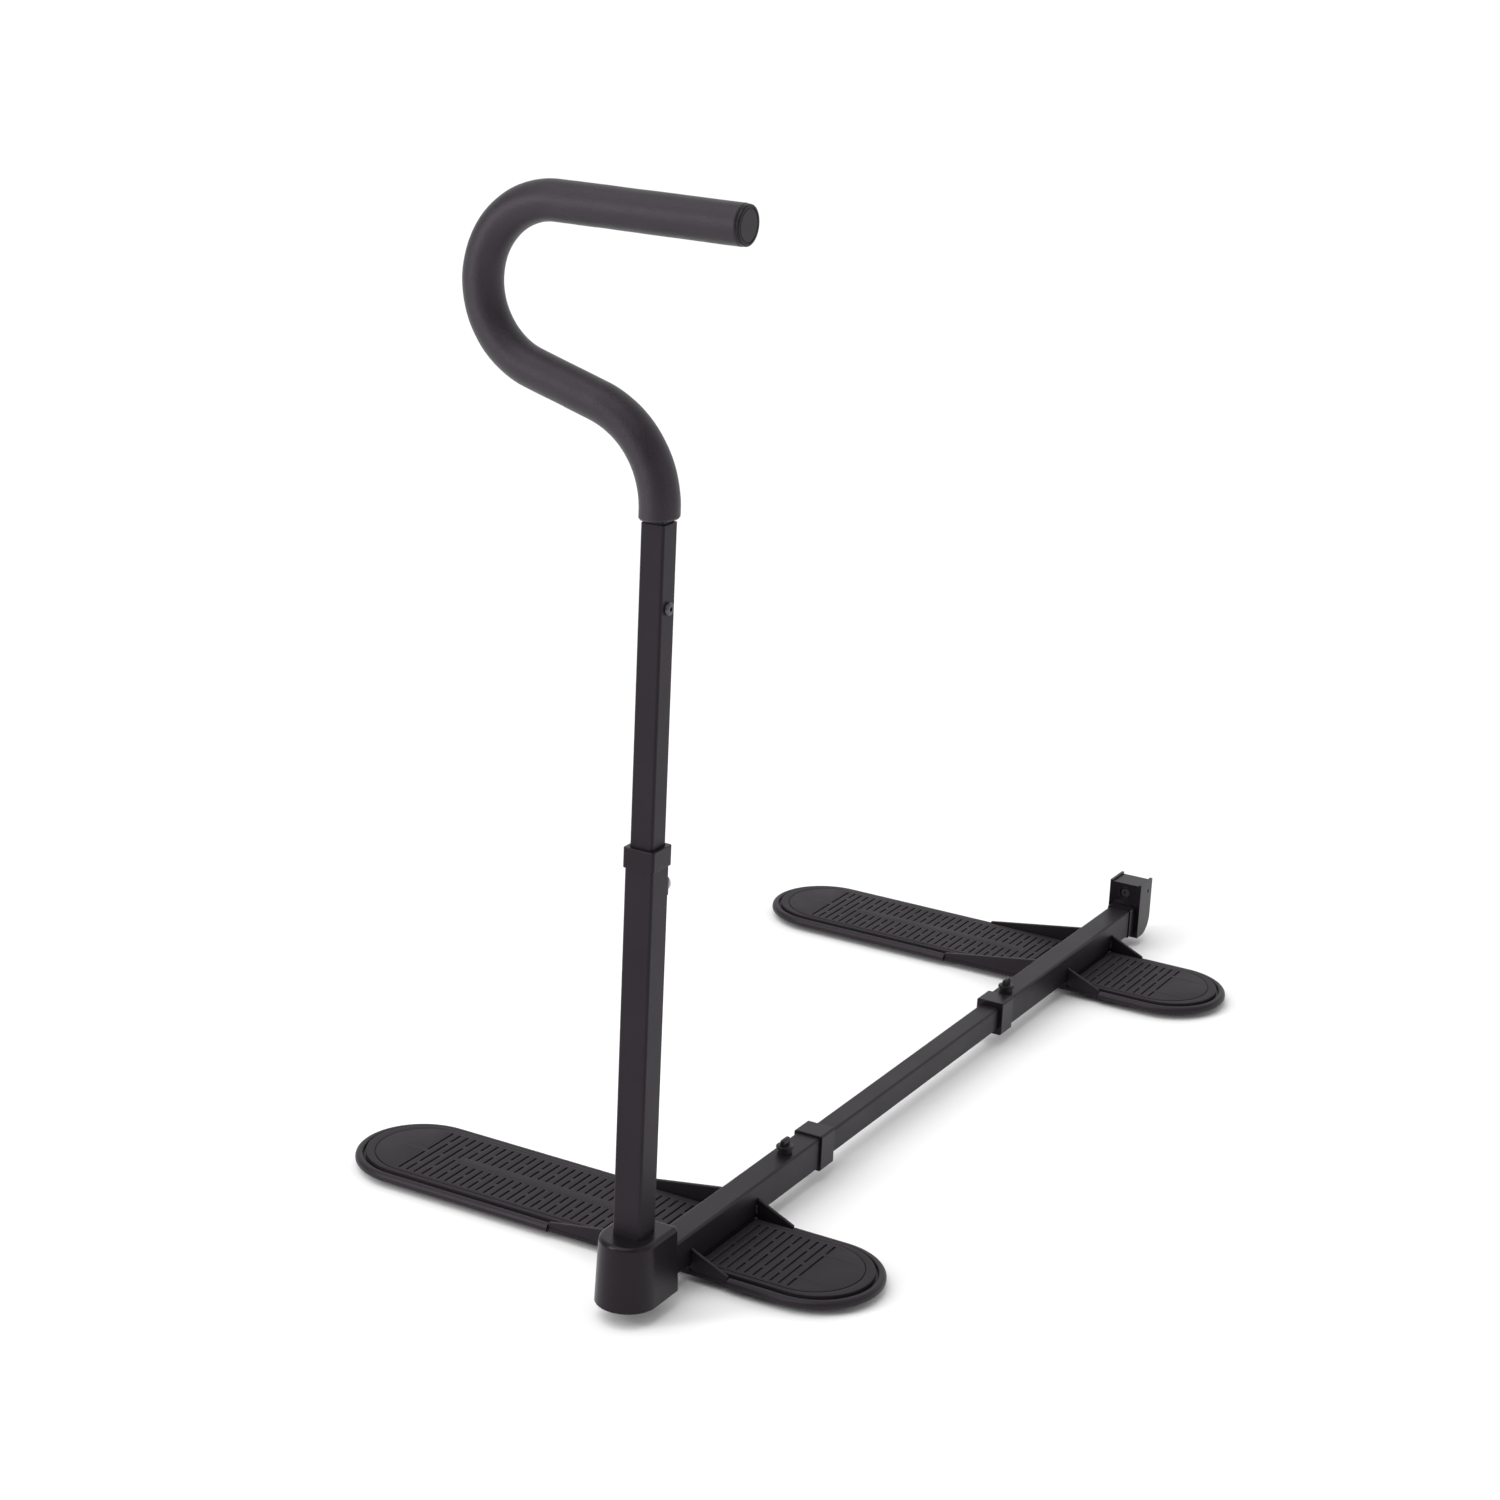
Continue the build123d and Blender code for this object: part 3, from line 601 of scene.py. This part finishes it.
# ---- thumb knobs and end cap -----------------------------------------------------------------
LATHE_POINTS = 64
FLANGE_GAP = 0.3 * MM    # between the nut and the knob's flange
FLANGE_T = 2.6 * MM
FLANGE_CHAMFER = 0.4 * MM
FLANGE_ROUND = 0.8 * MM
SHANK_R = 3.0 * MM
HUB_R = (4.6 * MM, 4.2 * MM)             # at its foot and at its top
HUB_RISE = 0.5 * MM
KNOB_RIBS = 22
RIB_R = (0.55 * MM, 0.45 * MM)           # at its foot and at its top
RIB_STAND = 0.4 * MM     # how far the flange's core stays inside the knob's size
RIB_SINK = 0.15 * MM
RIB_FOOT = 0.5 * MM      # from the flange's underside
RIB_HEAD = 0.6 * MM      # from the flange's top
TAB_FOOT = (4.0 * MM, 11.0 * MM)
TAB_TOP = (3.4 * MM, 10.6 * MM)
TAB_SINK = 0.5 * MM
TAB_ROUND = 0.8 * MM
CAP_PLUG_R = 9.5 * MM
CAP_RIM = 2.4 * MM       # rim's width along the grip
CAP_CHAMFER = 0.3 * MM
CAP_ROUND = 1.1 * MM
CAP_RING_INSET = 2.6 * MM
CAP_RING_HALF = 0.5 * MM
CAP_GROOVE_HALF = 0.3 * MM
CAP_GROOVE_DEPTH = 0.5 * MM
CAP_FACE_SINK = 0.1 * MM
CAP_CENTRE_R = 2.0 * MM


def lathe(bm, centre, axis, profile):
    """Turn (radius, height) points round an axis through centre; both ends get a flat face."""
    across = Vector((0, 1, 0))
    beside = axis.cross(across)
    rings = []
    for radius, height in profile:
        ring = []
        for k in range(LATHE_POINTS):
            a = 2 * math.pi * k / LATHE_POINTS
            ring.append(centre + axis * height + (across * math.cos(a) + beside * math.sin(a)) * radius)
        rings.append(ring)
    made = skin_rings(bm, rings)
    bm.faces.new(made[0])
    bm.faces.new(list(reversed(made[-1])))


def rounded_corner(radius, height, r):
    """Profile points of a quarter-round edge ending at (radius - r, height)."""
    return [(radius - r + r * math.cos(math.pi / 2 * i / 5), height - r + r * math.sin(math.pi / 2 * i / 5))
            for i in range(6)]


def soft_block(bm, corner, edge, segments):
    """Block with softened edges; corner() places each corner of a unit cube."""
    made = bmesh.ops.create_cube(bm, size=1.0)["verts"]
    for vertex in made:
        vertex.co = Vector(corner(vertex.co))
    edges = {e for vertex in made for e in vertex.link_edges}
    bmesh.ops.bevel(bm, geom=list(edges), offset=edge, segments=segments, profile=0.5, affect="EDGES")


def ribbed(bm, centre, radius, low_z, high_z):
    """Fluted rim: a ring of small upright ribs."""
    for i in range(KNOB_RIBS):
        a = 2 * math.pi * i / KNOB_RIBS
        place = centre + Vector((math.cos(a), math.sin(a), 0)) * radius
        made = bmesh.ops.create_cone(bm, cap_ends=True, segments=10, radius1=RIB_R[0], radius2=RIB_R[1],
                                     depth=high_z - low_z)
        for vertex in made["verts"]:
            vertex.co += Vector((place.x, place.y, (low_z + high_z) / 2))


def thumb_knob(end):
    """Turned flange with a fluted rim, a shank and a softened thumb tab along the rail."""
    node = f"{end}_thumb_screw"
    low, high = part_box(node)
    centre = Vector(((low.x + high.x) / 2, (low.y + high.y) / 2, 0))
    radius = (high.x - low.x) / 2
    _, nut_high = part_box(f"{end}_weld_nut")
    seat = nut_high.z + FLANGE_GAP
    flange_top = seat + FLANGE_T
    core = radius - RIB_STAND

    def tab_corner(unit):
        top = unit.z > 0
        width, length = TAB_TOP if top else TAB_FOOT
        z = high.z if top else flange_top - TAB_SINK
        return centre.x + unit.x * width, centre.y + unit.y * length, z

    def build(bm):
        profile = [(SHANK_R, low.z), (SHANK_R, seat), (core - FLANGE_CHAMFER, seat),
                   (core, seat + FLANGE_CHAMFER)]
        profile += rounded_corner(core, flange_top, FLANGE_ROUND)
        profile += [(HUB_R[0], flange_top), (HUB_R[1], flange_top + HUB_RISE)]
        lathe(bm, centre, Vector((0, 0, 1)), profile)
        ribbed(bm, centre, core - RIB_SINK, seat + RIB_FOOT, flange_top - RIB_HEAD)
        soft_block(bm, tab_corner, TAB_ROUND, 4)

    knob = piece(f"{node}_knob", f"{end}_lock", MOULDED, mesh_from(node, build))
    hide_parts(node)


def end_cap():
    """Pressed-in cap with a rounded rim and a shallow ring round its face."""
    low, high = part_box("grip_end_cap")
    radius = (high.y - low.y) / 2
    centre = Vector((0, (low.y + high.y) / 2, (low.z + high.z) / 2))
    disc_x = high.x - CAP_RIM
    groove_x = high.x - CAP_GROOVE_DEPTH
    face_x = high.x - CAP_FACE_SINK
    ring = radius - CAP_RING_INSET

    def build(bm):
        profile = [(CAP_PLUG_R, low.x), (CAP_PLUG_R, disc_x), (radius - CAP_CHAMFER, disc_x),
                   (radius, disc_x + CAP_CHAMFER)]
        profile += rounded_corner(radius, high.x, CAP_ROUND)
        profile += [(ring + CAP_RING_HALF, high.x), (ring + CAP_GROOVE_HALF, groove_x),
                    (ring - CAP_GROOVE_HALF, groove_x), (ring - CAP_RING_HALF, face_x),
                    (CAP_CENTRE_R, face_x)]
        lathe(bm, centre, Vector((1, 0, 0)), profile)

    mesh = mesh_from("grip_end_cap_turned", build)
    cap = piece("grip_end_cap_turned", "handle", MOULDED, mesh)
    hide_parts("grip_end_cap")


# ---- rear stop details -----------------------------------------------------------------------
SCREW_BEAD_R = 5.9 * MM
SCREW_BEAD = 0.55 * MM
SCREW_BEAD_SINK = 0.2 * MM       # behind the bracket's front face
STOP_RIB_X, STOP_RIB_Y, STOP_RIB_Z = 21 * MM, 1.0 * MM, 0.9 * MM
STOP_RIB_RISES = (1.6 * MM, 3.6 * MM)    # above the rail's top
STOP_RIB_ROUND = 0.25 * MM


def bead_ring(bm, centre, radius, bead):
    """Thin round bead on an upright wall that faces -Y."""
    rings = []
    for i in range(40):
        a = 2 * math.pi * i / 40
        out = Vector((math.cos(a), 0, math.sin(a)))
        ring = []
        for k in range(10):
            b = 2 * math.pi * k / 10
            ring.append(centre + out * (radius + bead * math.cos(b)) + Vector((0, bead * math.sin(b), 0)))
        rings.append(ring)
    skin_rings(bm, rings, closed=True)


def stop_details():
    """Raised rim round the sunk screw and two moulded ribs under it."""
    low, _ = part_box("rear_stop_bracket")
    screw_low, screw_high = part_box("rear_stop_screw")
    _, rail_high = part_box("rear_rail_tube")
    centre = Vector((0, low.y + SCREW_BEAD_SINK, (screw_low.z + screw_high.z) / 2))

    def rib_corner(unit, rise):
        return unit.x * STOP_RIB_X, low.y + unit.y * STOP_RIB_Y, rail_high.z + rise + unit.z * STOP_RIB_Z

    def build(bm):
        bead_ring(bm, centre, SCREW_BEAD_R, SCREW_BEAD)
        for rise in STOP_RIB_RISES:
            soft_block(bm, lambda unit: rib_corner(unit, rise), STOP_RIB_ROUND, 2)

    piece("rear_stop_ribs", "rear_base", MOULDED, mesh_from("rear_stop_ribs", build))


# ---- carried-over CAD nodes ------------------------------------------------------------------
NODE_MATERIALS = {
    "rail_tube": POWDER, "post_tube": POWDER, "inner_rail": POWDER, "foot_plate": POWDER, "spacer": POWDER,
    "weld_nut": POWDER, "weld_plate": POWDER, "spigot": POWDER, "handle_tube": POWDER, "gussets": POWDER,
    "collar": MOULDED, "glide": MOULDED, "boot": MOULDED, "foot_plug": MOULDED, "thumb_screw": MOULDED,
    "stop_mount": MOULDED, "stop_bracket": MOULDED, "latch_housing": MOULDED, "end_cap": MOULDED,
    "edge_trim": TRIM, "rubber_feet": RUBBER, "tread": RUBBER, "foam": FOAM,
    "stop_screw": DARK_SCREW, "latch_plunger": ZINC, "handle_screw": DARK_SCREW,
}


def dress_nodes():
    """Give every CAD node the material of its longest matching key."""
    for name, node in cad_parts.items():
        keys = [key for key in NODE_MATERIALS if key in name]
        material = NODE_MATERIALS[max(keys, key=len)]
        node.data.materials.clear()
        node.data.materials.append(material)


# ---- stage, camera and light -----------------------------------------------------------------
CAMERA_AT = Vector((1.0908, -1.9535, 1.1403))
CAMERA_AZIMUTH = math.radians(28.87)
CAMERA_ELEVATION = math.radians(18.06)
CAMERA_ROLL = math.radians(2.63)
LENS = 76.62
FLOOR_HALF = 45.0
FLOOR_DROP = 0.0004      # keeps the floor just under the rubber feet
ROOM_END, BACKDROP_START = -0.2, 0.55    # Y of the looking direction
ROOM_STRENGTH, BACKDROP_STRENGTH = 0.30, 1.0


def camera():
    """Camera at a fixed place, turned by azimuth, elevation and roll."""
    data = bpy.data.cameras.new("camera")
    data.lens = LENS
    data.sensor_width = 36.0
    data.clip_start, data.clip_end = 0.05, 50.0
    holder = bpy.data.objects.new("camera", data)
    bpy.context.scene.collection.objects.link(holder)
    azimuth, elevation, roll = CAMERA_AZIMUTH, CAMERA_ELEVATION, CAMERA_ROLL
    ahead = Vector((-math.sin(azimuth) * math.cos(elevation), math.cos(azimuth) * math.cos(elevation),
                    -math.sin(elevation)))
    right = Vector((math.cos(azimuth), math.sin(azimuth), 0))
    up = right.cross(ahead)
    rolled_right = right * math.cos(roll) + up * math.sin(roll)
    rolled_up = up * math.cos(roll) - right * math.sin(roll)
    turn = Matrix((rolled_right, rolled_up, -ahead)).transposed().to_4x4()
    holder.matrix_world = Matrix.Translation(CAMERA_AT) @ turn
    bpy.context.scene.camera = holder


def floor():
    """Plain pale floor."""
    mesh = bpy.data.meshes.new("floor")
    corners = [(x * FLOOR_HALF, y * FLOOR_HALF, -FLOOR_DROP) for x, y in ((-1, -1), (1, -1), (1, 1), (-1, 1))]
    mesh.from_pydata(corners, [], [(0, 1, 2, 3)])
    sheet = bpy.data.objects.new("floor", mesh)
    bpy.context.scene.collection.objects.link(sheet)
    material, tree, shader, coords = new_material("pale_floor")
    stops = [(NOISE_LOW, (0.93, 0.93, 0.93)), (NOISE_HIGH, (0.96, 0.96, 0.96))]
    colour = ramp(tree, noise(tree, coords, 3.0), stops)
    tree.links.new(colour, shader.inputs["Base Color"])
    shader.inputs["Roughness"].default_value = 0.9
    shader.inputs["Specular IOR Level"].default_value = 0.1
    mesh.materials.append(material)


def area_light(name, place, target, size, power):
    """Rectangular light turned towards target."""
    data = bpy.data.lights.new(name, "AREA")
    data.shape = "RECTANGLE"
    data.size, data.size_y = size
    data.energy = power
    lamp = bpy.data.objects.new(name, data)
    bpy.context.scene.collection.objects.link(lamp)
    lamp.location = place
    lamp.rotation_mode = "QUATERNION"
    lamp.rotation_quaternion = (Vector(target) - Vector(place)).to_track_quat("-Z", "Y")


def soft_sun(name, toward, strength, spread):
    """Even light over the whole floor, as soft as a large overhead panel."""
    data = bpy.data.lights.new(name, "SUN")
    data.energy = strength
    data.angle = math.radians(spread)
    lamp = bpy.data.objects.new(name, data)
    bpy.context.scene.collection.objects.link(lamp)
    lamp.rotation_mode = "QUATERNION"
    lamp.rotation_quaternion = Vector(toward).to_track_quat("-Z", "Y")


def lighting():
    """White backdrop behind the object, a dimmer room behind the camera, and large soft lights."""
    world = bpy.data.worlds.new("studio")
    bpy.context.scene.world = world
    world.use_nodes = True
    tree = world.node_tree
    coords = tree.nodes.new("ShaderNodeTexCoord")
    parts = tree.nodes.new("ShaderNodeSeparateXYZ")
    tree.links.new(coords.outputs["Generated"], parts.inputs["Vector"])
    shade = tree.nodes.new("ShaderNodeMapRange")
    shade.inputs["From Min"].default_value = ROOM_END
    shade.inputs["From Max"].default_value = BACKDROP_START
    shade.inputs["To Min"].default_value = ROOM_STRENGTH
    shade.inputs["To Max"].default_value = BACKDROP_STRENGTH
    tree.links.new(parts.outputs["Y"], shade.inputs["Value"])
    tree.links.new(shade.outputs["Result"], tree.nodes["Background"].inputs["Strength"])
    tree.nodes["Background"].inputs["Color"].default_value = (1.0, 1.0, 1.0, 1.0)
    middle = (0.0, 0.2, 0.35)
    soft_sun("sky_panel", (0.25, 0.45, -1.0), 1.8, 60)
    area_light("front_left", (-1.7, -2.2, 1.25), (-0.05, -0.1, 0.75), (0.7, 1.3), 34)
    area_light("right", (2.3, -0.6, 1.3), middle, (0.7, 1.2), 5)


dress_nodes()
foam_grip()
for plate_end in ("front", "rear"):
    for tread_side in ("left", "right"):
        tread(plate_end, tread_side)
    edge_trim(plate_end)
    for gusset_kind in ("long", "short"):
        gussets(plate_end, gusset_kind)
    welds(plate_end)
    thumb_knob(plate_end)
end_cap()
stop_details()
camera()
floor()
lighting()
bpy.context.scene.view_settings.view_transform = "Standard"
